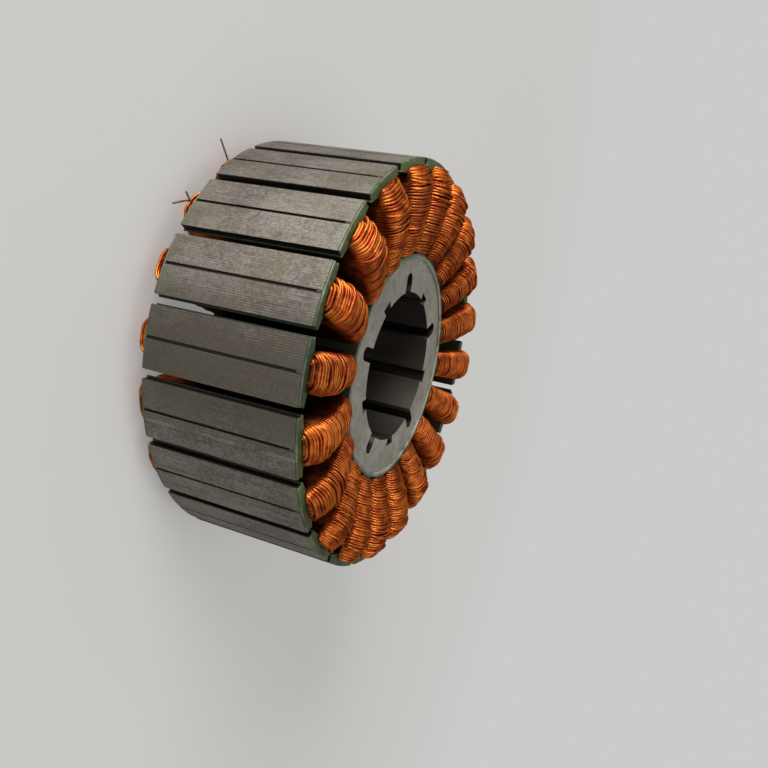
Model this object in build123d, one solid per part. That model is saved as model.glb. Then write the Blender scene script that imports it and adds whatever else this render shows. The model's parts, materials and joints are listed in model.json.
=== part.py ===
from build123d import *
import math
import os

# Wound stator for a motor whose magnets turn round the outside. Millimetres.
# The bore runs along Z. The stator stands on its lower coil heads, which touch Z = 0.

# Lamination stack
TOOTH_COUNT = 20
RIM_RADIUS = 50.0
STACK_LENGTH = 36.5
YOKE_RADIUS = 27.5
TOOTH_WIDTH = 4.2
SHOE_TIP_THICKNESS = 1.6
SHOE_ROOT_THICKNESS = 2.6
SLOT_OPENING = 2.2
RIM_GROOVE_WIDTH = 0.7
RIM_GROOVE_DEPTH = 0.5

# Bore, with round-ended grooves and shallow dovetail notches that alternate round it
TEETH_PER_NOTCH_PAIR = 4
BORE_RADIUS = 18.6
DEEP_GROOVE_DEPTH = 4.7
DEEP_GROOVE_WIDTH = 3.3
DOVETAIL_DEPTH = 1.8
DOVETAIL_MOUTH = 2.8
DOVETAIL_BASE = 3.7
DEEP_GROOVE_SLOT_INDEX = 3
DOVETAIL_SLOT_INDEX = 1

# Green powder coating over the teeth, both end faces and the slot walls. On the end faces
# it laps onto the yoke ring and leaves the rest of the ring bare. It fills the upper ends of
# the rim grooves. The slot openings are bare.
COAT_THICKNESS = 0.45
COAT_LAP_ON_YOKE = 0.8
COAT_PLUG_LENGTH = 1.3

# One coil of enamelled wire on every tooth, its turns grouped into bands.
# The coil heads swell past both end faces and lean out over the pole shoes.
WINDING_CLEARANCE = 0.1
COIL_GAP_AT_YOKE = 0.3
COIL_GAP_AT_SHOE = 5.0
HEAD_SETBACK = 1.5
HEAD_RISE_AT_YOKE = 2.2
HEAD_RISE_AT_CROWN = 5.8
HEAD_RISE_AT_SHOE = 3.3
HEAD_FLAT_WIDTH = 0.8
BAND_COUNT = 7
CROWN_BAND_INDEX = 5
BAND_DEPTH = 0.25
BEND_FACETS = 2

# Free wire ends that leave the lower coil heads. Each has the tooth that it comes from,
# its drop below the stack, and its route: how far past the coil head, and how far to one side.
LEAD_DIAMETER = 0.5
LEADS = [
    (0, 2.6, [(-3.0, -1.7), (1.4, -0.85), (5.7, -0.2)]),
    (1, 2.6, [(-2.7, -2.3), (0.1, -0.9), (2.1, 1.5), (3.8, 3.9)]),
    (1, 1.6, [(-1.2, 0.1), (1.3, 0.5), (3.6, 0.0)]),
]
LEAD_BEND_SHARE = 0.45
LEAD_SIDES = 8

HALF_PITCH = 180.0 / TOOTH_COUNT
SLOT_ANGLES = [-63.0 + 2 * HALF_PITCH * i for i in range(TOOTH_COUNT)]
TOOTH_ANGLES = [angle + HALF_PITCH for angle in SLOT_ANGLES]
HEAD_END = RIM_RADIUS - HEAD_SETBACK
STACK_BOTTOM = HEAD_RISE_AT_CROWN
STACK_MIDDLE = STACK_BOTTOM + STACK_LENGTH / 2
CUT_MARGIN = 1.0


def slot_window():
    """The winding space between two teeth, open at the rim, with its middle on +X."""
    rise = math.radians(HALF_PITCH)
    flank_offset = TOOTH_WIDTH / 2

    def on_flank(distance):
        x = distance * math.cos(rise) + flank_offset * math.sin(rise)
        y = distance * math.sin(rise) - flank_offset * math.cos(rise)
        return (x, y)

    floor_distance = math.sqrt(YOKE_RADIUS**2 - flank_offset**2)
    floor_x, floor_y = on_flank(floor_distance)
    root_x, root_y = on_flank(RIM_RADIUS - SHOE_ROOT_THICKNESS)
    tip = (RIM_RADIUS - SHOE_TIP_THICKNESS, SLOT_OPENING / 2)
    mouth = (RIM_RADIUS + CUT_MARGIN, SLOT_OPENING / 2)
    upper = Polyline((floor_x, floor_y), (root_x, root_y), tip, mouth)
    end = Line(mouth, (mouth[0], -mouth[1]))
    lower = Polyline((mouth[0], -mouth[1]), (tip[0], -tip[1]), (root_x, -root_y), (floor_x, -floor_y))
    floor = ThreePointArc((floor_x, -floor_y), (YOKE_RADIUS, 0), (floor_x, floor_y))
    return make_face(upper + end + lower + floor)


def deep_groove():
    """A parallel-sided groove with a round end, open to the bore, on +X."""
    end_centre = BORE_RADIUS + DEEP_GROOVE_DEPTH - DEEP_GROOVE_WIDTH / 2
    length = end_centre - BORE_RADIUS + CUT_MARGIN
    sides = Pos(end_centre - length / 2, 0) * Rectangle(length, DEEP_GROOVE_WIDTH)
    return Pos(end_centre, 0) * Circle(DEEP_GROOVE_WIDTH / 2) + sides


def dovetail():
    """A shallow notch that is wider at its base than at the bore, on +X."""
    mouth_x = math.sqrt(BORE_RADIUS**2 - (DOVETAIL_MOUTH / 2) ** 2)
    base_x = BORE_RADIUS + DOVETAIL_DEPTH
    half_mouth = DOVETAIL_MOUTH / 2
    half_base = DOVETAIL_BASE / 2
    inner_x = mouth_x - CUT_MARGIN
    outline = [
        (inner_x, -half_mouth),
        (mouth_x, -half_mouth),
        (base_x, -half_base),
        (base_x, half_base),
        (mouth_x, half_mouth),
        (inner_x, half_mouth),
    ]
    return make_face(Polyline(*outline, close=True))


def around(shape, angles):
    """Copies of a shape turned about Z."""
    return [Rot(0, 0, angle) * shape for angle in angles]


def lamination_stack(window):
    """The bonded stack of punched sheets: yoke ring, teeth and pole shoes."""
    plan = Circle(RIM_RADIUS) - Circle(BORE_RADIUS)
    groove_depth = RIM_GROOVE_DEPTH + CUT_MARGIN
    groove = Pos(RIM_RADIUS - RIM_GROOVE_DEPTH + groove_depth / 2, 0) * Rectangle(groove_depth, RIM_GROOVE_WIDTH)
    plan -= around(window, SLOT_ANGLES)
    plan -= around(groove, TOOTH_ANGLES)
    plan -= around(deep_groove(), SLOT_ANGLES[DEEP_GROOVE_SLOT_INDEX::TEETH_PER_NOTCH_PAIR])
    plan -= around(dovetail(), SLOT_ANGLES[DOVETAIL_SLOT_INDEX::TEETH_PER_NOTCH_PAIR])
    return extrude(Pos(0, 0, STACK_BOTTOM) * plan, STACK_LENGTH)


def epoxy_coating(window, stack):
    """The coating as one skin: a cap on each end of the teeth, joined by the slot linings."""
    height = STACK_LENGTH + 2 * COAT_THICKNESS
    ring = Circle(RIM_RADIUS) - Circle(YOKE_RADIUS - COAT_LAP_ON_YOKE)
    blank = extrude(Pos(0, 0, STACK_MIDDLE) * ring, height / 2, both=True)
    opening_length = SHOE_TIP_THICKNESS + CUT_MARGIN
    opening = Pos(RIM_RADIUS + CUT_MARGIN - opening_length / 2, 0) * Rectangle(opening_length, SLOT_OPENING)
    lined_window = offset(window, -COAT_THICKNESS, kind=Kind.INTERSECTION) + opening
    cutter = Pos(0, 0, STACK_MIDDLE) * extrude(lined_window, height, both=True)
    blank -= around(cutter, SLOT_ANGLES)
    rim_band = Circle(RIM_RADIUS + CUT_MARGIN) - Circle(RIM_RADIUS - 2 * RIM_GROOVE_DEPTH)
    bare_rim = extrude(Pos(0, 0, STACK_BOTTOM) * rim_band, STACK_LENGTH - COAT_PLUG_LENGTH)
    return blank - bare_rim - stack


def head_rise(share):
    """How far a coil head stands past the stack, from its yoke end (0) to its shoe end (1)."""
    crown = CROWN_BAND_INDEX / BAND_COUNT
    if share <= crown:
        climb = math.sin(math.pi / 2 * share / crown)
        return HEAD_RISE_AT_YOKE + (HEAD_RISE_AT_CROWN - HEAD_RISE_AT_YOKE) * climb
    fall = 1 - math.cos(math.pi / 2 * (share - crown) / (1 - crown))
    return HEAD_RISE_AT_CROWN - (HEAD_RISE_AT_CROWN - HEAD_RISE_AT_SHOE) * fall


def coil_section(distance, share, inset):
    """The corners of a coil's outline at one distance from the bore's axis."""
    gap = COIL_GAP_AT_YOKE + (COIL_GAP_AT_SHOE - COIL_GAP_AT_YOKE) * share
    half_width = distance * math.tan(math.radians(HALF_PITCH)) - gap / 2 - inset
    half_height = STACK_LENGTH / 2 + head_rise(share) - inset
    bend = half_width - HEAD_FLAT_WIDTH / 2
    outline = []
    for quarter, (side, end) in enumerate([(1, 1), (-1, 1), (-1, -1), (1, -1)]):
        for facet in range(BEND_FACETS + 1):
            turn = math.pi / 2 * (quarter + facet / BEND_FACETS)
            y = side * (half_width - bend) + bend * math.cos(turn)
            z = end * (half_height - bend) + bend * math.sin(turn)
            outline.append((distance, y, STACK_MIDDLE + z))
    return outline


def skin(outlines):
    """A solid with flat facets between outlines that have parallel sides."""
    faces = [make_face(Polyline(*outline, close=True)) for outline in (outlines[0], outlines[-1])]
    for inner, outer in zip(outlines, outlines[1:]):
        for corner in range(len(inner)):
            before = corner - 1
            facet = Polyline(inner[before], inner[corner], outer[corner], outer[before], close=True)
            faces.append(make_face(facet))
    return Solid(Shell(faces))


def tooth_coil():
    """One coil on the tooth that points along +X: banded turns round the coated tooth."""
    reach = COAT_THICKNESS + WINDING_CLEARANCE
    first = YOKE_RADIUS + reach
    steps = 2 * BAND_COUNT
    outlines = []
    for step in range(steps + 1):
        share = step / steps
        inset = BAND_DEPTH if step % 2 else 0
        outlines.append(coil_section(first + (HEAD_END - first) * share, share, inset))
    turns = skin(outlines)
    between_heads = STACK_LENGTH + 2 * reach
    tooth = Box(2 * RIM_RADIUS, TOOTH_WIDTH + 2 * reach, between_heads)
    turns -= Pos(RIM_RADIUS, 0, STACK_MIDDLE) * tooth
    shoe_side = RIM_RADIUS - SHOE_ROOT_THICKNESS - reach
    shoe = Box(RIM_RADIUS, RIM_RADIUS, between_heads)
    return turns - Pos(shoe_side + RIM_RADIUS / 2, 0, STACK_MIDDLE) * shoe


def lead_wire(drop, route, coil):
    """One free wire end of the coil on +X, which starts at that coil's surface."""
    points = [Vector(HEAD_END + past, side, STACK_BOTTOM - drop) for past, side in route]
    runs = [after - before for before, after in zip(points, points[1:])]
    radii = []
    for before, after in zip(runs, runs[1:]):
        half_turn = math.radians(before.get_angle(after)) / 2
        shorter = min(before.length, after.length)
        radii.append(LEAD_BEND_SHARE * shorter / math.tan(half_turn))
    print("Lead bend radii:", [round(radius, 1) for radius in radii])
    path = FilletPolyline(*points, radius=radii)
    section = Plane(origin=path @ 0, z_dir=path % 0) * RegularPolygon(LEAD_DIAMETER / 2, LEAD_SIDES)
    return sweep(section, path) - coil


def main():
    os.makedirs("parts", exist_ok=True)
    window = slot_window()
    stack = lamination_stack(window)
    export_step(stack, "parts/lamination_stack.step")
    export_step(epoxy_coating(window, stack), "parts/epoxy_coating.step")
    coil = tooth_coil()
    for number, angle in enumerate(TOOTH_ANGLES, start=1):
        export_step(Rot(0, 0, angle) * coil, f"parts/coil_{number:02d}.step")
    for number, (tooth, drop, route) in enumerate(LEADS, start=1):
        wire = Rot(0, 0, TOOTH_ANGLES[tooth]) * lead_wire(drop, route, coil)
        export_step(wire, f"parts/lead_wire_{number}.step")


main()
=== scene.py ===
# %% [markdown]
# # A wound stator
#
# This is the still part of an electric motor whose magnets turn round the outside. A stack of thin
# steel sheets has twenty teeth. A green powder coat covers the teeth so that the wire can't touch
# the steel, and a coil of orange enamelled wire is wound on each tooth. The solids come from the
# CAD model. This file gives the steel and the coat their finish, and winds real wire on the teeth.

import json
import math
import random

import bpy
from mathutils import Euler, Matrix, Vector


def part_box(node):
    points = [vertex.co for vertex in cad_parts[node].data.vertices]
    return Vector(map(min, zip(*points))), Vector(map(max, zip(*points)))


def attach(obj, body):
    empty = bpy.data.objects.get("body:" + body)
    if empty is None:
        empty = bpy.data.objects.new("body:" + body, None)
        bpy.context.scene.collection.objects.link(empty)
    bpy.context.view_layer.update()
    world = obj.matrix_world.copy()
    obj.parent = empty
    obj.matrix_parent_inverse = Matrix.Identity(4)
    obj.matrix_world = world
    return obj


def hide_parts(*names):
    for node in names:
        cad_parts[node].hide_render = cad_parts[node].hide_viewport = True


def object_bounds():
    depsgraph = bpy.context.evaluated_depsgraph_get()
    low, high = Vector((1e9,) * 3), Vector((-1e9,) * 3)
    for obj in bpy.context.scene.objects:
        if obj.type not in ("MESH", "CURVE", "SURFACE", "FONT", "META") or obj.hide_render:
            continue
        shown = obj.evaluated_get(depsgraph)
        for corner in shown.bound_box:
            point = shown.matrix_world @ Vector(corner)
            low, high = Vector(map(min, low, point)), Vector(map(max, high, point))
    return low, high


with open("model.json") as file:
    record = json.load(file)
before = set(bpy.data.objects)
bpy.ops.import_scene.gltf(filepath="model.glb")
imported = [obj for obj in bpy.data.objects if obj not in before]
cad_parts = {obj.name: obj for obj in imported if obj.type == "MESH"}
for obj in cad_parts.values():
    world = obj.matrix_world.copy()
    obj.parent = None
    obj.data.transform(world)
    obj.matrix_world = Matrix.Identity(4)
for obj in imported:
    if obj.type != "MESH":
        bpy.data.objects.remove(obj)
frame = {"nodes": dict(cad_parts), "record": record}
cad_low, cad_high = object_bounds()
MM = 0.001
print("CAD box in mm:", [round(v / MM, 1) for v in (*cad_low, *cad_high)])

# %% [markdown]
# ## The camera
#
# A camera could be placed by hand with its rotation dials. Here it gets a place, a point to look at
# and a roll about its own line of sight, because those three are easy to read and to change. It is
# rolled by more than a right angle, so that the ring seems to stand on its rim.

# %% Place the camera
SENSOR_WIDTH = 36
LENS = 36.01
ROLL = math.radians(103.12)
camera_place = Vector((0.17691, -0.01803, 0.10862))
camera_aim = Vector((0.00064, 0.00494, 0.03952))
line_of_sight = camera_aim - camera_place

camera_data = bpy.data.cameras.new("camera")
camera_data.sensor_width = SENSOR_WIDTH
camera_data.lens = LENS
camera = bpy.data.objects.new("camera", camera_data)
bpy.context.scene.collection.objects.link(camera)
camera.location = camera_place
camera.rotation_mode = "QUATERNION"
roll = Euler((0, 0, ROLL)).to_quaternion()
camera.rotation_quaternion = line_of_sight.to_track_quat("-Z", "Y") @ roll
bpy.context.scene.camera = camera
print("camera distance in mm:", round(line_of_sight.length / MM, 1))

# %% [markdown]
# ## Sums on shader sockets
#
# A finish is a graph of nodes. Wiring a Math node for every plus and minus is slow to write and to
# read, so two small classes do it. A Signal is one socket, and a sum on signals adds the Math
# nodes. A Finish is one material, and its add method makes any other node: its settings, then its
# sockets. Most finishes below are one colour with layers over it, and a layer is a mask, the
# strength of the mask and a colour.


# %% A signal
class Signal:
    """One output socket that carries a number, a colour or a vector."""

    def __init__(self, finish, socket):
        self.finish = finish
        self.socket = socket

    def output(self, name):
        """Another output of the same node."""
        return Signal(self.finish, self.socket.node.outputs[name])

    def __add__(self, other):
        return self.finish.calc("ADD", self, other)

    def __sub__(self, other):
        return self.finish.calc("SUBTRACT", self, other)

    def __rsub__(self, other):
        return self.finish.calc("SUBTRACT", other, self)

    def __mul__(self, other):
        return self.finish.calc("MULTIPLY", self, other)

    def __truediv__(self, other):
        return self.finish.calc("DIVIDE", self, other)

    def __rtruediv__(self, other):
        return self.finish.calc("DIVIDE", other, self)

    __radd__ = __add__
    __rmul__ = __mul__


print("a signal can be added, subtracted, multiplied and divided")


# %% A finish
class Finish:
    """One material, with the place of each point on it ready to use."""

    # A Mix node has sockets for every kind of data. These are the ones for colours.
    UNDER, OVER, MIXED = 6, 7, 2

    def __init__(self, name):
        self.material = bpy.data.materials.new(name)
        self.material.use_nodes = True
        self.tree = self.material.node_tree
        self.shader = self.tree.nodes["Principled BSDF"]
        self.place = self.add("ShaderNodeTexCoord").output("Object")
        split = self.add("ShaderNodeSeparateXYZ", {}, {0: self.place})
        self.x, self.y, self.z = (split.output(axis) for axis in "XYZ")
        self.radius = self.calc("SQRT", self.x * self.x + self.y * self.y)
        self.turn = self.calc("ARCTAN2", self.y, self.x)

    def connect(self, value, socket):
        """Link a signal to a socket, or write a plain value into it."""
        if isinstance(value, Signal):
            self.tree.links.new(value.socket, socket)
        else:
            socket.default_value = value

    def add(self, kind, settings=None, sockets=None, output=0):
        """Any node: its type, its settings, and the values or links of its sockets."""
        node = self.tree.nodes.new(kind)
        for setting, value in (settings or {}).items():
            setattr(node, setting, value)
        for name, value in (sockets or {}).items():
            self.connect(value, node.inputs[name])
        return Signal(self, node.outputs[output])

    def calc(self, operation, *numbers):
        return self.add("ShaderNodeMath", {"operation": operation}, dict(enumerate(numbers)))

    def spread(self, signal, low, high, at_low=0.0, at_high=1.0):
        """A smooth step: at_low where the signal is below low, at_high where it is above high."""
        limits = {"From Min": low, "From Max": high, "To Min": at_low, "To Max": at_high}
        smooth = {"interpolation_type": "SMOOTHSTEP"}
        return self.add("ShaderNodeMapRange", smooth, {"Value": signal, **limits})

    def noise(self, scale, detail, place=None):
        """A noise that goes through about so many changes in a metre."""
        sockets = {"Vector": place or self.place, "Scale": scale, "Detail": detail}
        return self.add("ShaderNodeTexNoise", {}, sockets)

    def vector(self, x, y, z):
        return self.add("ShaderNodeCombineXYZ", {}, {0: x, 1: y, 2: z})

    def mix(self, factor, under, over):
        """One colour over another, where the factor is 1."""
        under, over = ((*c, 1) if isinstance(c, tuple) else c for c in (under, over))
        sockets = {0: factor, self.UNDER: under, self.OVER: over}
        return self.add("ShaderNodeMix", {"data_type": "RGBA"}, sockets, self.MIXED)

    def layered(self, colour, *layers):
        """A colour with layers over it, the lowest first: (mask, strength, colour) for each."""
        for mask, strength, over in layers:
            colour = self.mix(mask * strength, colour, over)
        return colour

    def bump(self, height, depth):
        return self.add("ShaderNodeBump", {}, {"Height": height, "Distance": depth})

    def set(self, **sockets):
        """The sockets of the material's shader, with _ for the spaces in their names."""
        for name, value in sockets.items():
            value = (*value, 1) if isinstance(value, tuple) else value
            self.connect(value, self.shader.inputs[name.replace("_", " ")])


print("a finish can layer colours over each other")

# %% [markdown]
# ## The steel
#
# The sheets are electrical steel, punched and pressed together. The rim is dull and brownish, and
# the ring round the bore is cleaner. One finish could be painted by hand as an image, but masks
# made from the distance to the axis and the height tell rim, ring and bore apart at any resolution.

# %% Measure the stack
stack_low, stack_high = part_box("lamination_stack")
_, coat_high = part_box("epoxy_coating")
RIM = stack_high.x
BORE = frame["record"]["mounts"][0]["dims"]["r_mm"] * MM
SHEET = 0.5 * MM
stack_middle = (stack_low.z + stack_high.z) / 2
stack_half = (stack_high.z - stack_low.z) / 2
print("stack height in mm:", round(2 * stack_half / MM, 2), "with sheets of", SHEET / MM)

# %% Tell the faces of the steel apart
steel = Finish("lamination_steel")
from_middle = steel.calc("ABSOLUTE", steel.z - stack_middle)
on_rim = steel.spread(steel.radius, RIM - 1.2 * MM, RIM - 0.6 * MM)
on_end = steel.spread(from_middle, stack_half - 0.03 * MM, stack_half - 0.01 * MM)
near_end = steel.spread(from_middle, stack_half - 1.9 * MM, stack_half - 0.9 * MM)
# The groove down each shoe, which is painted dark as shade.
painted_shade_rim_groove = steel.spread(steel.radius, RIM - 0.35 * MM, RIM - 0.1 * MM, 1.0, 0.0)
# The bore's grooves: painted light on their walls, and painted shade on their floors.
painted_light_bore_groove = steel.spread(steel.radius, BORE + 0.1 * MM, BORE + 0.4 * MM)
painted_shade_groove_floor = steel.spread(steel.radius, BORE + 0.9 * MM, BORE + 1.9 * MM)
print("rim and bore radius in mm:", round(RIM / MM, 1), round(BORE / MM, 1))

# %% [markdown]
# ## Lines and spots on the steel
#
# Fine lines run up the rim, where the marks of the punch line up from sheet to sheet, and the
# faint edge of every sheet crosses them. Noise alone would give streaks but no lines, so a sine
# round the axis makes them. It would look ruled, so one noise bends it and a second breaks it. The
# blotches, specks and grain are noises of other scales.

# %% Patterns on the steel
LINE_PITCH = 0.52 * MM
LINE_BEND = 9.0  # the most that noise shifts a line, in radians of its wave


def rim_noise(around, along, detail):
    """A noise with one scale round the rim and another along the axis."""
    place = steel.vector(steel.turn * RIM * around, steel.z * along, 0.0)
    return steel.noise(1.0, detail, place)


sheet_phase = steel.calc("FRACT", steel.z / SHEET)
sheet_edge = steel.spread(steel.calc("ABSOLUTE", sheet_phase - 0.5), 0.36, 0.5)
wander = rim_noise(around=250, along=70, detail=2.0)
streaks = rim_noise(around=900, along=50, detail=3.0)
breaks = rim_noise(around=700, along=240, detail=2.0)
line_turn = steel.turn * (RIM * 2 * math.pi / LINE_PITCH) + wander * LINE_BEND
lines = steel.spread(steel.calc("SINE", line_turn), -0.6, 0.9)
lines = lines * steel.spread(wander, 0.38, 0.62, 0.2, 1.0)
lines = lines * steel.spread(breaks, 0.35, 0.60, 0.3, 1.0)
blotches = steel.noise(scale=95.0, detail=4.0)
speckle = steel.noise(scale=1500.0, detail=3.0)
grain = steel.noise(scale=2600.0, detail=2.0)
print("lines round the rim:", round(2 * math.pi * RIM / LINE_PITCH))

# %% [markdown]
# ## The rim's colour
#
# The rim has the most wear: bright lines, dark streaks and specks, olive stains, a haze of coat
# near both ends and two scratches on one tooth, and one side is darker with painted shade. They
# could be mixed into one noise, but as layers over the bare steel each can be changed by itself.
# The groove down the middle of every shoe comes last, painted dark as shade whatever lies beside
# it.

# %% Colour the rim
# One side is painted darker as shade: the angle of its middle, and where its mask starts and ends.
SHADED_SIDE = math.radians(3)
SHADE_EDGE = (0.93, 0.995)
SCRATCHED_TOOTH = math.radians(18)
SCRATCHES = (2.05 * MM, 2.45 * MM)
SCRATCH_EDGE = (0.03 * MM, 0.09 * MM)  # where a scratch starts to fade, and where it is gone


def painted_shade_side(finish):
    """A mask of the side with painted shade, from a cosine that is 1 in its middle."""
    return finish.spread(finish.calc("COSINE", finish.turn - SHADED_SIDE), *SHADE_EDGE)


def scratch(offset):
    """A broken scratch along the axis, this far round the rim from the middle of its tooth."""
    away = steel.calc("ABSOLUTE", steel.turn - (SCRATCHED_TOOTH + offset / RIM)) * RIM
    return steel.spread(away, *SCRATCH_EDGE, 1.0, 0.0) * steel.spread(wander, 0.35, 0.5)


worn = steel.spread(blotches, 0.35, 0.65)
dark_streaks = steel.spread(streaks, 0.50, 0.72)
mottle = steel.spread(steel.noise(scale=520.0, detail=3.0), 0.52, 0.70)
dark_specks = steel.spread(speckle, 0.52, 0.66)
light_specks = steel.spread(speckle, 0.36, 0.48, 1.0, 0.0)
olive = steel.spread(steel.noise(scale=70.0, detail=3.0), 0.50, 0.66)
haze = near_end * steel.spread(blotches, 0.30, 0.60, 0.15, 0.9)
# Painted shade on one side of the rim.
one_side_shade = painted_shade_side(steel) * steel.spread(blotches, 0.25, 0.55, 0.35, 0.75)
rim_colour = steel.layered(
    (0.190, 0.163, 0.142),
    (worn, 1.0, (0.285, 0.254, 0.225)),
    (lines, 0.55, (0.46, 0.42, 0.37)),
    (dark_streaks, 0.45, (0.085, 0.070, 0.060)),
    (sheet_edge, 0.15, (0.06, 0.05, 0.045)),
    (mottle, 0.35, (0.09, 0.078, 0.068)),
    (dark_specks, 0.35, (0.085, 0.074, 0.064)),
    (light_specks, 0.30, (0.44, 0.41, 0.36)),
    (olive, 0.35, (0.25, 0.245, 0.165)),
    (haze, 0.55, (0.24, 0.265, 0.19)),
    (one_side_shade, 1.0, (0.105, 0.090, 0.072)),
    *((scratch(offset), 0.8, (0.52, 0.49, 0.45)) for offset in SCRATCHES),
    # Painted shade in the groove down each shoe.
    (painted_shade_rim_groove, 1.0, (0.050, 0.042, 0.037)),
)
print("scratches on the rim:", len(SCRATCHES))

# %% [markdown]
# ## The ring, the bore and the whole finish
#
# The bare ring round the bore is the cleanest steel, only rubbed and grainy. The bore is painted
# darker as shade, the walls of its grooves are painted lighter as light, and their floors are
# painted darkest as shade. All three colours then meet in one shader. The lines and the sheets'
# edges could be modelled, but they are far too fine, so a bump gives them their relief.

# %% Finish the lamination stack
RELIEF_DEPTH = 0.03 * MM
clean = steel.spread(blotches, 0.35, 0.70)
dark_grain = steel.spread(grain, 0.50, 0.75)
rubbed_steel = steel.spread(steel.noise(scale=380.0, detail=4.0), 0.46, 0.62)
ring_colour = steel.layered(
    (0.52, 0.515, 0.45),
    (clean, 1.0, (0.70, 0.68, 0.60)),
    (dark_grain, 0.5, (0.32, 0.31, 0.27)),
    (rubbed_steel, 0.4, (0.30, 0.29, 0.25)),
)
# The bore: painted shade, with painted light on its groove walls and painted shade on their floors.
bore_colour_with_painted_shade = steel.layered(
    (0.100, 0.084, 0.072),
    (sheet_edge, 0.5, (0.045, 0.038, 0.033)),
    (painted_light_bore_groove, 1.0, (0.19, 0.165, 0.145)),
    (painted_shade_groove_floor, 1.0, (0.035, 0.030, 0.027)),
)
flat_colour = steel.mix(on_end, bore_colour_with_painted_shade, ring_colour)
relief = lines * on_rim + sheet_edge * -0.3 + grain * 0.15
steel.set(
    Base_Color=steel.mix(on_rim, flat_colour, rim_colour),
    Metallic=0.75,
    Roughness=steel.spread(streaks + grain * 0.5, 0.5, 0.95, 0.38, 0.55),
    Normal=steel.bump(relief, RELIEF_DEPTH),
)
stack = frame["nodes"]["lamination_stack"]
stack.data.materials.clear()
stack.data.materials.append(steel.material)
print("nodes in the steel's finish:", len(steel.tree.nodes))

# %% [markdown]
# ## The green coat
#
# Powder coat melts and flows before it sets, so its edges are round and it has a slight orange
# peel. The CAD skin has sharp edges, and its mesh is made of loose triangles. A copy of it is
# merged, its flat faces are joined again, and a Bevel modifier rounds the edges. Bevelling the
# loose triangles wouldn't work, because a bevel needs to know which faces meet at an edge.

# %% Merge a copy of the coat and round its edges
MERGE_DISTANCE = 0.002 * MM
FLAT_ANGLE = math.radians(0.5)
EDGE_ROUND = 0.2 * MM
SHARP_ANGLE = math.radians(50)
SMOOTH_ANGLE = math.radians(35)


def merged_copy(node, name):
    """A copy of a CAD node whose triangles are joined into whole faces."""
    bpy.ops.object.select_all(action="DESELECT")
    piece = bpy.data.objects.new(name, frame["nodes"][node].data.copy())
    bpy.context.scene.collection.objects.link(piece)
    bpy.context.view_layer.objects.active = piece
    piece.select_set(True)
    bpy.ops.object.mode_set(mode="EDIT")
    bpy.ops.mesh.select_all(action="SELECT")
    bpy.ops.mesh.remove_doubles(threshold=MERGE_DISTANCE)
    bpy.ops.mesh.dissolve_limited(angle_limit=FLAT_ANGLE)
    bpy.ops.mesh.normals_make_consistent(inside=False)
    bpy.ops.object.mode_set(mode="OBJECT")
    return piece


skin = merged_copy("epoxy_coating", "rounded_coat")
rounding = skin.modifiers.new("round_edges", "BEVEL")
rounding.width = EDGE_ROUND
rounding.segments = 2
rounding.limit_method = "ANGLE"
rounding.angle_limit = SHARP_ANGLE
bpy.ops.object.modifier_apply(modifier=rounding.name)
bpy.ops.object.shade_smooth_by_angle(angle=SMOOTH_ANGLE)
skin.select_set(False)
print("faces in the rounded coat:", len(skin.data.polygons))

# %% [markdown]
# ## The coat's finish
#
# The coat is a mid green that clouds a little. It thins out and chips where it ends round the bore,
# it is rubbed pale at the rim, partly with a painted highlight along the edge, one side near the
# rim is darker with painted shade, it is painted dark as shade where it lies on the rim face in the
# groove down each shoe, and it is nearly black down in the slots, where little light comes.
# These places could be painted by hand, but the distances that tell the steel's faces apart find
# them too, and they stay right if the CAD model changes.

# %% Tell the places on the coat apart
coat = Finish("green_powder_coat")
coat_inner = min(vertex.co.xy.length for vertex in skin.data.vertices)
past_steel = coat.calc("ABSOLUTE", coat.z - stack_middle) - stack_half
on_cap = coat.spread(past_steel, 0.0, 0.2 * MM)
within_steel = coat.spread(past_steel, 0.0, 0.2 * MM, 1.0, 0.0)
at_ring = coat.spread(coat.radius, coat_inner + 0.5 * MM, coat_inner + 1.3 * MM, 1.0, 0.0)
by_rim = coat.spread(coat.radius, RIM - 8.0 * MM, RIM - 5.0 * MM)
at_rim = coat.spread(coat.radius, RIM - 0.45 * MM, RIM - 0.1 * MM)
slot_wall = within_steel * coat.spread(coat.radius, RIM - 1.5 * MM, RIM - 1.2 * MM, 0.75, 0.0)
print("the coat ends", round(coat_inner / MM, 1), "mm from the axis")

# %% Finish the coat
PEEL_DEPTH = 0.03 * MM
peel = coat.noise(scale=900.0, detail=2.0)
cloud = coat.noise(scale=140.0, detail=3.0)
light_cloud = coat.spread(cloud, 0.35, 0.65)
pale_patch = coat.spread(coat.noise(scale=420.0, detail=2.0), 0.55, 0.75)
thin_edge = at_ring * coat.spread(cloud, 0.30, 0.60, 0.45, 1.0)
chipped = coat.spread(coat.noise(scale=260.0, detail=4.0), 0.50, 0.60) * at_ring
# Pale patches at the rim edge of the caps: rubbed coat, and partly a painted highlight.
rubbed_and_highlight_patch = coat.spread(coat.noise(scale=230.0, detail=3.0), 0.42, 0.62, 0.05, 1.0)
green = coat.layered(
    (0.028, 0.060, 0.022),
    (light_cloud, 1.0, (0.090, 0.138, 0.060)),
    (pale_patch, 0.40, (0.23, 0.26, 0.18)),
    (thin_edge, 1.0, (0.37, 0.39, 0.33)),
    (chipped, 0.5, (0.075, 0.085, 0.060)),
    # Rubbed pale at the rim edge of the caps, partly a painted highlight.
    (at_rim * on_cap * rubbed_and_highlight_patch, 0.6, (0.28, 0.29, 0.21)),
    # Painted shade on the same side as on the rim, near the rim.
    (by_rim * painted_shade_side(coat), 0.6, (0.035, 0.052, 0.030)),
    (slot_wall, 1.0, (0.012, 0.020, 0.011)),
    # Painted shade on the coat at the rim face, where it lies in the groove down each shoe.
    (at_rim * within_steel, 1.0, (0.050, 0.056, 0.042)),
)
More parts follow.
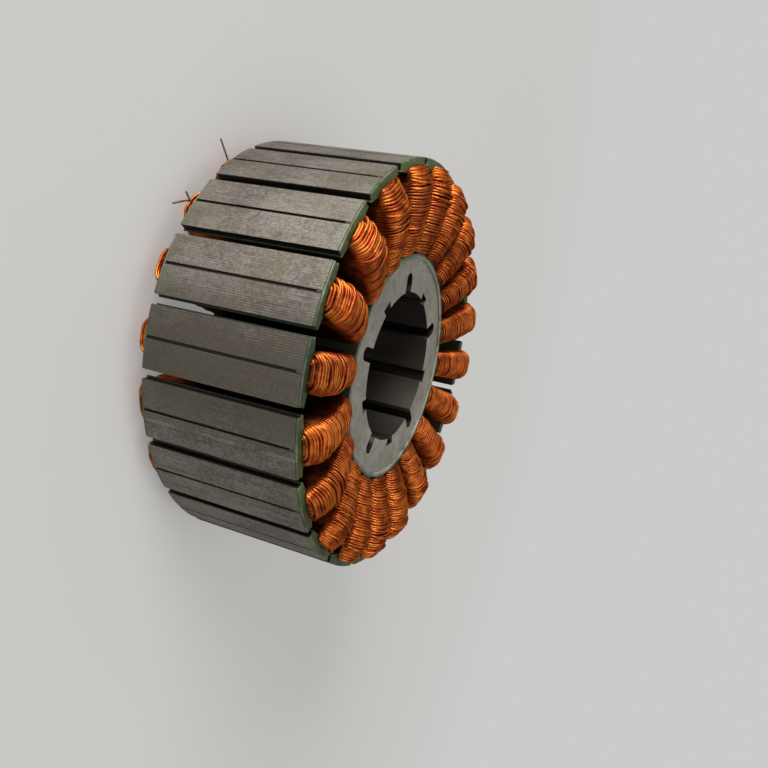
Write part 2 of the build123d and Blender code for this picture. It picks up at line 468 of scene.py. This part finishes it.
coat.set(
    Base_Color=green,
    Metallic=0.0,
    Roughness=coat.spread(peel, 0.3, 0.7, 0.28, 0.48),
    Normal=coat.bump(peel, PEEL_DEPTH),
)
skin.data.materials.clear()
skin.data.materials.append(coat.material)
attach(skin, "root")
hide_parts("epoxy_coating")
print("nodes in the coat's finish:", len(coat.tree.nodes))

# %% [markdown]
# ## The wire
#
# Magnet wire is copper under a clear orange enamel. The metal gives the bright line along each turn
# and the enamel the deep orange between. Each turn catches a slightly different tone, so the colour
# follows a noise that is about as fine as the wire itself. Dust and shade gather between the turns.
# The thin gaps could be left to the light alone, but a darker colour on the flanks of each turn,
# where it faces the next one along the tooth, shows them from any distance. Down in the slots the
# wire is painted dark as shade, and near the shoes it is painted a little brighter as a highlight.

# %% Colour the wire
NEAR_SHOE = (RIM - 8.0 * MM, RIM - 4.5 * MM)
# Past each end face: where the shade of the slots starts to fade, and where it is gone.
FRONT_SHADE = (-3.0 * MM, 1.0 * MM)
REAR_SHADE = (-7.0 * MM, -1.5 * MM)

wire = Finish("enamelled_copper")
tone = wire.noise(scale=420.0, detail=2.0)
patch = wire.noise(scale=120.0, detail=2.0)
outward = wire.vector(wire.x / wire.radius, wire.y / wire.radius, 0.0)
normal = wire.add("ShaderNodeNewGeometry", output="Normal")
dot_product = {"operation": "DOT_PRODUCT"}
faces_next = wire.add("ShaderNodeVectorMath", dot_product, {0: normal, 1: outward}, "Value")
valley = wire.spread(wire.calc("ABSOLUTE", faces_next), 0.62, 1.0)
valley = valley * wire.spread(wire.radius, *NEAR_SHOE, 0.75, 0.25)
# Painted highlight near the shoes.
painted_highlight_by_shoe = wire.spread(wire.radius, *NEAR_SHOE) * wire.spread(tone, 0.40, 0.60, 0.0, 0.34)
# Painted shade down in the slots, fading out past each end face.
painted_slot_shade = wire.spread(wire.z - stack_high.z, *FRONT_SHADE, 1.0, 0.0)
painted_slot_shade = painted_slot_shade * wire.spread(stack_low.z - wire.z, *REAR_SHADE, 1.0, 0.0)
copper = wire.layered(
    (0.48, 0.092, 0.022),
    (wire.spread(tone, 0.35, 0.65), 1.0, (0.88, 0.248, 0.046)),
    (wire.spread(patch, 0.42, 0.70), 0.5, (0.24, 0.042, 0.020)),
    (valley, 1.0, (0.085, 0.018, 0.007)),
    # Painted highlight near the shoes.
    (painted_highlight_by_shoe, 1.0, (0.90, 0.30, 0.048)),
    # Painted shade down in the slots.
    (painted_slot_shade, 0.88, (0.030, 0.012, 0.008)),
)
wire.set(
    Base_Color=copper,
    Metallic=0.85,
    Roughness=wire.spread(tone, 0.3, 0.7, 0.36, 0.48),
    Specular_Tint=(1.0, 0.62, 0.35),
)
print("nodes in the wire's finish:", len(wire.tree.nodes))

# %% [markdown]
# ## The form of a coil
#
# A coil bulges. It fills the space beside its tooth, so it is narrow at the yoke and wide at the
# shoe, and its heads rise past both end faces, highest near the outside. It could be sculpted and
# wrapped in wire, but a few functions say the same more exactly: how wide and how high a turn is at
# each distance from the axis. Their limits are taken from the box of one CAD coil. The crown is
# where a head is highest, and the gaps are those between neighbouring coils.

# %% Measure a coil
TEETH = 20
PITCH_ANGLE = 2 * math.pi / TEETH
coil_names = [f"coil_{number:02d}" for number in range(1, TEETH + 1)]


def tooth_angle(node):
    """The angle of a coil's tooth, from its box, to the nearest whole step round the ring."""
    low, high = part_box(node)
    middle = (low + high) / 2
    return round(math.atan2(middle.y, middle.x) / PITCH_ANGLE) * PITCH_ANGLE


straight_coil = next(name for name in coil_names if abs(tooth_angle(name)) < PITCH_ANGLE / 2)
coil_low, coil_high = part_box(straight_coil)
YOKE_END = coil_low.x
HEAD_END = coil_high.x + 0.4 * MM
SHOE_FACE = coil_high.x - 1.65 * MM
print(straight_coil, "reaches from", round(YOKE_END / MM, 2), "to", round(HEAD_END / MM, 2), "mm")

# %% Describe its form
CROWN_RISE = stack_low.z - coil_low.z - 0.2 * MM
YOKE_RISE = 0.38 * CROWN_RISE
END_RISE = 0.57 * CROWN_RISE
CROWN_SHARE = 5 / 7
GAP_AT_YOKE = 0.3 * MM
GAP_AT_SHOE = 5.0 * MM
FLAT_AT_YOKE = 0.4 * MM
FLAT_AT_SHOE = 1.1 * MM


def ease(value):
    """A smooth step from 0 to 1."""
    value = min(max(value, 0.0), 1.0)
    return value * value * (3 - 2 * value)


def head_share(distance):
    """Where a distance from the axis lies on a head, from the yoke (0) to the outer end (1)."""
    return (distance - YOKE_END) / (HEAD_END - YOKE_END)


def head_rise(distance):
    """How far the head stands past the end face: up to a crown, then down again."""
    share = head_share(distance)
    if share <= CROWN_SHARE:
        climb = math.sin(math.pi / 2 * share / CROWN_SHARE)
        return YOKE_RISE + (CROWN_RISE - YOKE_RISE) * climb
    fall = 1 - math.cos(math.pi / 2 * (share - CROWN_SHARE) / (1 - CROWN_SHARE))
    return CROWN_RISE - (CROWN_RISE - END_RISE) * fall


def half_width(distance):
    """Half of the width that a coil may take up beside its neighbours."""
    gap = GAP_AT_YOKE + (GAP_AT_SHOE - GAP_AT_YOKE) * head_share(distance)
    return distance * math.tan(PITCH_ANGLE / 2) - gap / 2


def half_flat(distance):
    """Half of the flat across the top of a turn, between its two bends."""
    return FLAT_AT_YOKE + (FLAT_AT_SHOE - FLAT_AT_YOKE) * ease(head_share(distance))


print("the crown stands", round(CROWN_RISE / MM, 2), "mm past the end face")

# %% [markdown]
# ## One lap of wire
#
# A lap goes up one side of the tooth, over the top, down the other side and under the bottom. Over
# the heads the turns lean outwards, as the pull of winding bows them over the pole shoes, and down
# in the slots they stand back a little towards the tooth. No primitive winds itself like that, so
# the lap is a short list of stations, and a function puts each station at its place.

# %% Stations of a lap
SIDE_STEPS = 3
BEND_STEPS = 8


def lap_stations():
    """One lap from the bottom up: (side of the flat, height up the side, angle of the bend)."""
    stations = []
    for half in (0, 1):
        way = 1 - 2 * half
        start = math.pi * half
        for step in range(SIDE_STEPS):
            stations.append((way, way * (2 * step / SIDE_STEPS - 1), start))
        for step in range(BEND_STEPS + 1):
            stations.append((way, way, start + math.pi / 2 * step / BEND_STEPS))
        stations.append((0, way, start + math.pi / 2))
        for step in range(BEND_STEPS):
            stations.append((-way, way, start + math.pi / 2 * (1 + step / BEND_STEPS)))
    return stations


STATIONS = lap_stations()
print("stations in a lap:", len(STATIONS))

# %% Put a station at its place
WIRE = 0.63 * MM
CAP_TOP = coat_high.z - stack_middle
LEAST_HEAD = 0.1 * MM
LEAN = 0.3  # share of a head's height in which a turn leans all the way out
SLOT_RECESS = 1.3 * MM
RECESS_GROWTH = 1.4  # the recess is whole at 1 / 1.4 of the way to the shoe
RECESS_EDGE = 0.35  # share of a head's height, below and above the cap, in which it ends


def station_place(station, share, inset, sway=0.0, lift=0.0):
    """Where the wire's middle is.

    share runs from the yoke (0) to the shoe (1), inset goes into the coil, sway moves the turn
    along its head and lift makes it higher.
    """
    side, level, bend_angle = station
    margin = WIRE / 2 + inset
    in_slot = YOKE_END + WIRE / 2 + (SHOE_FACE - YOKE_END - WIRE) * share
    on_head = YOKE_END + WIRE / 2 + (HEAD_END - YOKE_END - WIRE) * share
    width = half_width(on_head) - margin
    height = stack_half + head_rise(on_head) - margin + lift
    bend = width - half_flat(on_head)
    across = side * half_flat(on_head) + bend * math.cos(bend_angle)
    up = level * (height - bend) + bend * math.sin(bend_angle)
    past_cap = (abs(up) - CAP_TOP) / max(height - CAP_TOP, LEAST_HEAD)
    in_recess = 1 - ease((past_cap + RECESS_EDGE) / (2 * RECESS_EDGE))
    recess = SLOT_RECESS * ease(share * RECESS_GROWTH) * in_recess
    across -= math.copysign(min(recess, abs(across)), across)
    distance = in_slot + (on_head - in_slot) * ease(past_cap / LEAN) + sway * ease(past_cap)
    return Vector((distance, across, stack_middle + up))


print("the caps reach", round(CAP_TOP / MM, 2), "mm from the middle of the stack")

# %% [markdown]
# ## Winding a coil
#
# A real coil is wound in layers, and the last turns cross the ones below. A Screw modifier would
# make an even spiral quickly, but its turns couldn't change from the yoke to the shoe. Here each
# coil has an outer layer of turns that nearly touch, a layer below it, a few turns more at both
# ends of the heads, and loose turns that slant over the heads. The turns are not quite even, which
# comes from a random generator with a fixed seed. A curve through all the places of a layer or of
# a loose turn, with a round bevel, makes the wire.

# %% Lay the turns of a layer
SWAY = 0.11 * MM  # how far one turn strays along its head
LIFT = (-0.16 * MM, 0.04 * MM)
DRIFT = 0.12 * MM  # how far neighbouring turns stray together
LONG_WAVES = 2.3
SHORT_WAVES = 5.1
SHORT_STRENGTH = 0.6


def layer(turns, first, last, inset, unevenness, chance):
    """One wire wound from the first share to the last, as a list of places.

    Each head drifts with a long and a short wave, and each turn has its own sway and lift.
    """
    places = []
    drift = [chance.uniform(0, 2 * math.pi) for wave in range(4)]
    for turn in range(turns):
        sway = [chance.gauss(0, SWAY) * unevenness for head in range(2)]
        lift = [chance.uniform(*LIFT) * unevenness for head in range(2)]
        for number, station in enumerate(STATIONS):
            share = first + (last - first) * (turn + number / len(STATIONS)) / turns
            head = 0 if station[1] > 0 else 1
            wave = math.sin(2 * math.pi * LONG_WAVES * share + drift[head])
            short = math.sin(2 * math.pi * SHORT_WAVES * share + drift[2 + head])
            slow = DRIFT * (wave + SHORT_STRENGTH * short) * unevenness
            places.append(station_place(station, share, inset, sway[head] + slow, lift[head]))
    return places


print("turns stray, in mm, alone:", round(SWAY / MM, 2), "and together:", round(DRIFT / MM, 2))

# %% Lay a loose turn
CROSSING_SHARE = (0.15, 0.92)
CROSSING_SLANT = (0.02, 0.12)
CROSSING_DEPTH = (0.16 * MM, 0.42 * MM)  # below the form, on top of the head
DIVE = 1.1 * MM  # how much deeper both of its ends lie
DIVE_POWER = 3


def crossing(head, chance):
    """A loose turn that comes up out of a slot, slants over one head and goes down again."""
    start = head * len(STATIONS) // 2
    steps = range(1, len(STATIONS) // 2 + 3)
    lap = [STATIONS[(start + step) % len(STATIONS)] for step in steps]
    share = chance.uniform(*CROSSING_SHARE)
    slant = chance.choice((-1, 1)) * chance.uniform(*CROSSING_SLANT)
    depth = chance.uniform(*CROSSING_DEPTH)
    places = []
    for number, station in enumerate(lap):
        along = number / (len(lap) - 1)
        dive = DIVE * abs(2 * along - 1) ** DIVE_POWER
        here = min(max(share + slant * (along - 0.5), 0.0), 1.0)
        places.append(station_place(station, here, depth + dive))
    return places


print("depth of a loose turn on its head, in mm:", [round(v / MM, 2) for v in CROSSING_DEPTH])

# %% Make wire through the places
WOUND_ROUNDNESS = 1
SMOOTH_ROUNDNESS = 3
SMOOTH_STEPS = 8
SMOOTH_ORDER = 3


def wire_mesh(name, runs, thickness, finish, smooth=False):
    """Round wire through each list of places, as a mesh, straight between them or smooth."""
    bpy.ops.object.select_all(action="DESELECT")
    curve = bpy.data.curves.new(name, "CURVE")
    curve.dimensions = "3D"
    curve.bevel_depth = thickness / 2
    curve.bevel_resolution = SMOOTH_ROUNDNESS if smooth else WOUND_ROUNDNESS
    curve.resolution_u = SMOOTH_STEPS
    curve.use_fill_caps = True
    for run in runs:
        spline = curve.splines.new("NURBS" if smooth else "POLY")
        spline.points.add(len(run) - 1)
        for point, place in zip(spline.points, run):
            point.co = (*place, 1)
        if smooth:
            spline.order_u = SMOOTH_ORDER
            spline.use_endpoint_u = True
    piece = bpy.data.objects.new(name, curve)
    bpy.context.scene.collection.objects.link(piece)
    bpy.context.view_layer.objects.active = piece
    piece.select_set(True)
    bpy.ops.object.convert(target="MESH")
    bpy.ops.object.shade_smooth()
    piece.data.materials.clear()
    piece.data.materials.append(finish.material)
    piece.select_set(False)
    return piece


print("wire in mm:", round(WIRE / MM, 2), "with roundness", WOUND_ROUNDNESS)

# %% Wind the variants of a coil
# For each layer: its turns, its first and last share, its inset and its unevenness.
LAYERS = {
    "outer": (31, 0.0, 1.0, 0.70 * MM, 1.0),
    "inner": (32, 0.02, 0.98, 1.0 * MM, 0.5),
    "outer end, upper": (2, 0.93, 1.0, 1.8 * MM, 1.0),
    "outer end, middle": (2, 0.93, 1.0, 2.4 * MM, 1.0),
    "outer end, lower": (2, 0.93, 1.0, 3.0 * MM, 1.0),
    "yoke end": (2, 0.0, 0.07, 1.4 * MM, 0.3),
}
CROSSINGS = 8
VARIANTS = 5


def wind_coil(name, seed):
    """All layers and then the loose turns, which take the two heads in turn."""
    chance = random.Random(seed)
    runs = [layer(*numbers, chance) for numbers in LAYERS.values()]
    runs += [crossing(number % 2, chance) for number in range(CROSSINGS)]
    return wire_mesh(name, runs, WIRE, wire)


variants = [wind_coil(f"wound_coil_variant_{seed}", seed) for seed in range(VARIANTS)]
triangles = sum(len(face.vertices) - 2 for face in variants[0].data.polygons)
print("triangles in one coil:", triangles)

# %% [markdown]
# ## A coil on every tooth
#
# Winding twenty different coils would take long, and one coil copied twenty times would show. Five
# variants are copied in turn instead. Each copy gets its own mesh, turned to its tooth, so that its
# object stays at the origin.

# %% Put the coils on the teeth
for number, node in enumerate(coil_names):
    source = variants[(number * 2) % VARIANTS]
    piece = bpy.data.objects.new(f"wound_{node}", source.data.copy())
    bpy.context.scene.collection.objects.link(piece)
    piece.data.transform(Matrix.Rotation(tooth_angle(node), 4, "Z"))
    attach(piece, "root")
    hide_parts(node)
for source in variants:
    bpy.data.objects.remove(source)
print("coils placed:", len(coil_names))

# %% [markdown]
# ## The free wire ends
#
# Three short ends stick out from the lower heads of two coils. Straight pieces of a cylinder could
# be joined, but their corners would show. Each end is a smooth curve instead, along the same few
# points as its CAD tube, and starts inside the coil that it comes from.

# %% Finish the bare wire
bare = Finish("tarnished_wire_end")
bare_tone = bare.spread(bare.noise(scale=700.0, detail=2.0), 0.35, 0.65)
bare.set(
    Base_Color=bare.mix(bare_tone, (0.20, 0.16, 0.14), (0.36, 0.27, 0.22)),
    Metallic=0.6,
    Roughness=0.4,
)
print("nodes in the bare wire's finish:", len(bare.tree.nodes))

# %% Make the wire ends
END_WIRE = 0.42 * MM
# The angle of the coil in degrees, the level of the wire over the rear face in mm, and the route:
# how far past the coil's outer end and how far to its side each point lies, in mm.
END_ROUTES = {
    "lead_wire_1": (-54, -2.6, [(-3.0, -1.7), (1.4, -0.85), (5.7, -0.2)]),
    "lead_wire_2": (-36, -2.6, [(-2.7, -2.3), (0.1, -0.9), (2.1, 1.5), (3.8, 3.9)]),
    "lead_wire_3": (-36, -1.6, [(-1.2, 0.1), (1.3, 0.5), (3.6, 0.0)]),
}

for node, (degrees, level, route) in END_ROUTES.items():
    height = stack_low.z + level * MM
    run = [(coil_high.x + past * MM, side * MM, height) for past, side in route]
    piece = wire_mesh(f"free_{node}", [run], END_WIRE, bare, smooth=True)
    piece.data.transform(Matrix.Rotation(math.radians(degrees), 4, "Z"))
    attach(piece, "root")
    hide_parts(node)
print("wire ends made:", len(END_ROUTES))

# %% [markdown]
# ## The stage
#
# The stator stands on its lower coil heads on a plain pale floor. A floor that bends up into a
# wall would show its bend from some sides, so this one fades out at its edge instead, into a world
# of the same tone. The world has a second, dimmer tone, which only lights.

# %% Floor
FLOOR_RADIUS = 1.2
FLOOR_FADE = (0.15, 0.60)
bpy.ops.object.select_all(action="DESELECT")
bpy.ops.mesh.primitive_circle_add(
    vertices=96, radius=FLOOR_RADIUS, fill_type="NGON", location=(0, 0, cad_low.z)
)
floor = bpy.context.object
floor.name = "floor"
bpy.ops.object.transform_apply(location=True)
pale = Finish("pale_floor")
to_camera = pale.add("ShaderNodeLightPath")
pale.set(
    Base_Color=(0.60, 0.60, 0.595),
    Roughness=0.9,
    Emission_Color=pale.mix(to_camera, (0.0, 0.0, 0.0), (0.22, 0.22, 0.217)),
    Emission_Strength=1.0,
    Alpha=pale.spread(pale.radius, *FLOOR_FADE, 1.0, 0.0),
)
floor.data.materials.append(pale.material)
print("floor radius in m:", FLOOR_RADIUS, "fading from", FLOOR_FADE[0])

# %% World
WORLD_LIGHT = (1.0, 0.98, 0.95, 1)
WORLD_STRENGTH = 0.23
WORLD_SEEN = (0.60, 0.60, 0.59, 1)
world = bpy.data.worlds.new("studio")
bpy.context.scene.world = world
world.use_nodes = True
nodes, links = world.node_tree.nodes, world.node_tree.links
background = nodes["Background"]
background.inputs["Color"].default_value = WORLD_LIGHT
background.inputs["Strength"].default_value = WORLD_STRENGTH
seen = nodes.new("ShaderNodeBackground")
seen.inputs["Color"].default_value = WORLD_SEEN
paths = nodes.new("ShaderNodeLightPath")
choose = nodes.new("ShaderNodeMixShader")
links.new(paths.outputs["Is Camera Ray"], choose.inputs[0])
links.new(background.outputs[0], choose.inputs[1])
links.new(seen.outputs[0], choose.inputs[2])
links.new(choose.outputs[0], nodes["World Output"].inputs["Surface"])
print("the world lights with strength", WORLD_STRENGTH)

# %% [markdown]
# ## The light
#
# One large soft lamp low at the side does most of the work, as a window does, and a weak one fills
# from above. Small lamps would put hard dots on the copper. Large ones give the soft highlights
# that show the curve of every turn.


# %% Lamps
def lamp(name, place, size, power, colour):
    """A round lamp, so wide in metres and so strong in watts, that points at the stator."""
    data = bpy.data.lights.new(name, "AREA")
    data.shape = "DISK"
    data.size = size
    data.energy = power
    data.color = colour
    light = bpy.data.objects.new(name, data)
    bpy.context.scene.collection.objects.link(light)
    light.location = place
    light.rotation_mode = "QUATERNION"
    to_stator = Vector((0, 0, stack_middle)) - Vector(place)
    light.rotation_quaternion = to_stator.to_track_quat("-Z", "Y")
    print(name, "lamp at", round(to_stator.length, 2), "m")


lamp("window", (1.66, -2.46, 0.35), size=2.0, power=132.0, colour=(1.0, 0.98, 0.95))
lamp("fill", (0.60, 0.35, 1.90), size=2.0, power=10.0, colour=(1.0, 1.0, 0.96))
bpy.context.scene.view_settings.view_transform = "Standard"
